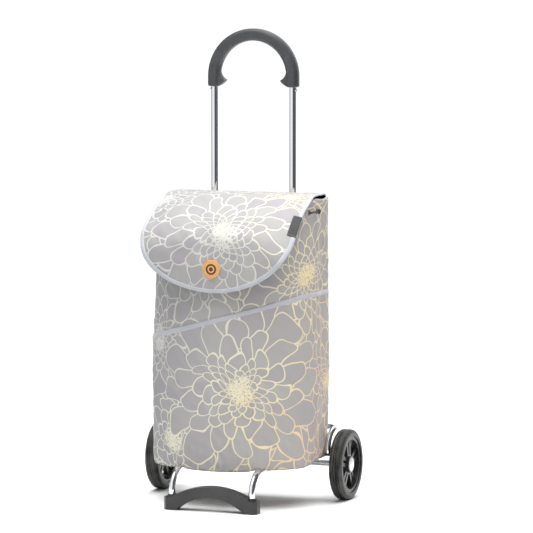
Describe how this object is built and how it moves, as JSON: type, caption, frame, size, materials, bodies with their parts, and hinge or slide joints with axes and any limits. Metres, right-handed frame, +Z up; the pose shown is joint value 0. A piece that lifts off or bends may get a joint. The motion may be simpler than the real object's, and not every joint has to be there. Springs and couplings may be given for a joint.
{
  "type": "shopping trolley",
  "caption": "Two-wheeled shopping trolley: chrome tube frame with a half-ring grip, an arched foot, and a hanging fabric bag with a rounded flap.",
  "frame": {"origin": "on the ground, at the bottom centre of the object's bounding box", "axes": "+Z up along the uprights, +X to the trolley's right seen from the front, +Y from the bag towards the wheels and the user"},
  "size_m": [0.4524, 0.337, 1],
  "materials": {
    "chrome_tube": "bright chrome plate",
    "plated_steel": "zinc plate, satin",
    "grip_plastic": "satin dark grey moulding",
    "black_plastic": "fine matt grain",
    "black_webbing": "woven webbing",
    "patterned_fabric": "silver grey weave with pale petal outlines",
    "edge_tape": "grey blue woven tape",
    "board": "matt sheet",
    "black_cord": "braided cord",
    "badge_wood": "oiled wood disc",
    "woven_label": "dense woven tape",
    "tyre_rubber": "satin rubber",
    "rim_plastic": "semi-gloss moulding",
    "nylon": "natural nylon",
    "silver_cap": "silver moulding"
  },
  "bodies": {
    "frame": {"upright_left": "chrome_tube", "upright_right": "chrome_tube", "grip_inner_shell": "grip_plastic", "grip_outer_shell": "grip_plastic", "grip_spigots": "grip_plastic", "grip_screws": "plated_steel", "axle_tube": "chrome_tube", "axle_rod": "plated_steel", "axle_spacer_left": "black_plastic", "axle_spacer_right": "black_plastic", "axle_lock_washers": "plated_steel", "bag_guard_bow": "chrome_tube", "guard_cap_left": "black_plastic", "guard_cap_right": "black_plastic", "foot_tube_left": "chrome_tube", "foot_tube_right": "chrome_tube", "foot_arch": "black_plastic", "foot_screws": "plated_steel", "hanger_screws": "plated_steel", "upper_loop_left": "black_webbing", "upper_loop_right": "black_webbing", "lower_loop_left": "black_webbing", "lower_loop_right": "black_webbing", "loop_studs": "plated_steel", "bag_shell": "patterned_fabric", "base_board": "board", "front_pocket": "patterned_fabric", "pocket_binding": "edge_tape", "side_cord": "black_cord", "cord_eyelets": "plated_steel"},
    "flap": {"flap_panel": "patterned_fabric", "flap_binding": "edge_tape", "flap_badge": "badge_wood", "flap_label": "woven_label"},
    "wheel_left": {"wheel_tyre_left": "tyre_rubber", "wheel_rim_left": "rim_plastic", "wheel_bushes_left": "nylon", "hub_cap_left": "silver_cap"},
    "wheel_right": {"wheel_tyre_right": "tyre_rubber", "wheel_rim_right": "rim_plastic", "wheel_bushes_right": "nylon", "hub_cap_right": "silver_cap"}
  },
  "joints": [
    {"name": "wheel_left_spin", "type": "hinge", "parent": "frame", "child": "wheel_left", "pos_m": [-0.21, 0.0935, 0.075], "axis": [1, 0, 0], "continuous": true},
    {"name": "wheel_right_spin", "type": "hinge", "parent": "frame", "child": "wheel_right", "pos_m": [0.21, 0.0935, 0.075], "axis": [1, 0, 0], "continuous": true},
    {"name": "flap_hinge", "type": "hinge", "parent": "frame", "child": "flap", "pos_m": [0, 0.0795, 0.651], "axis": [-1, 0, 0], "range_deg": [0, 90]}
  ]
}
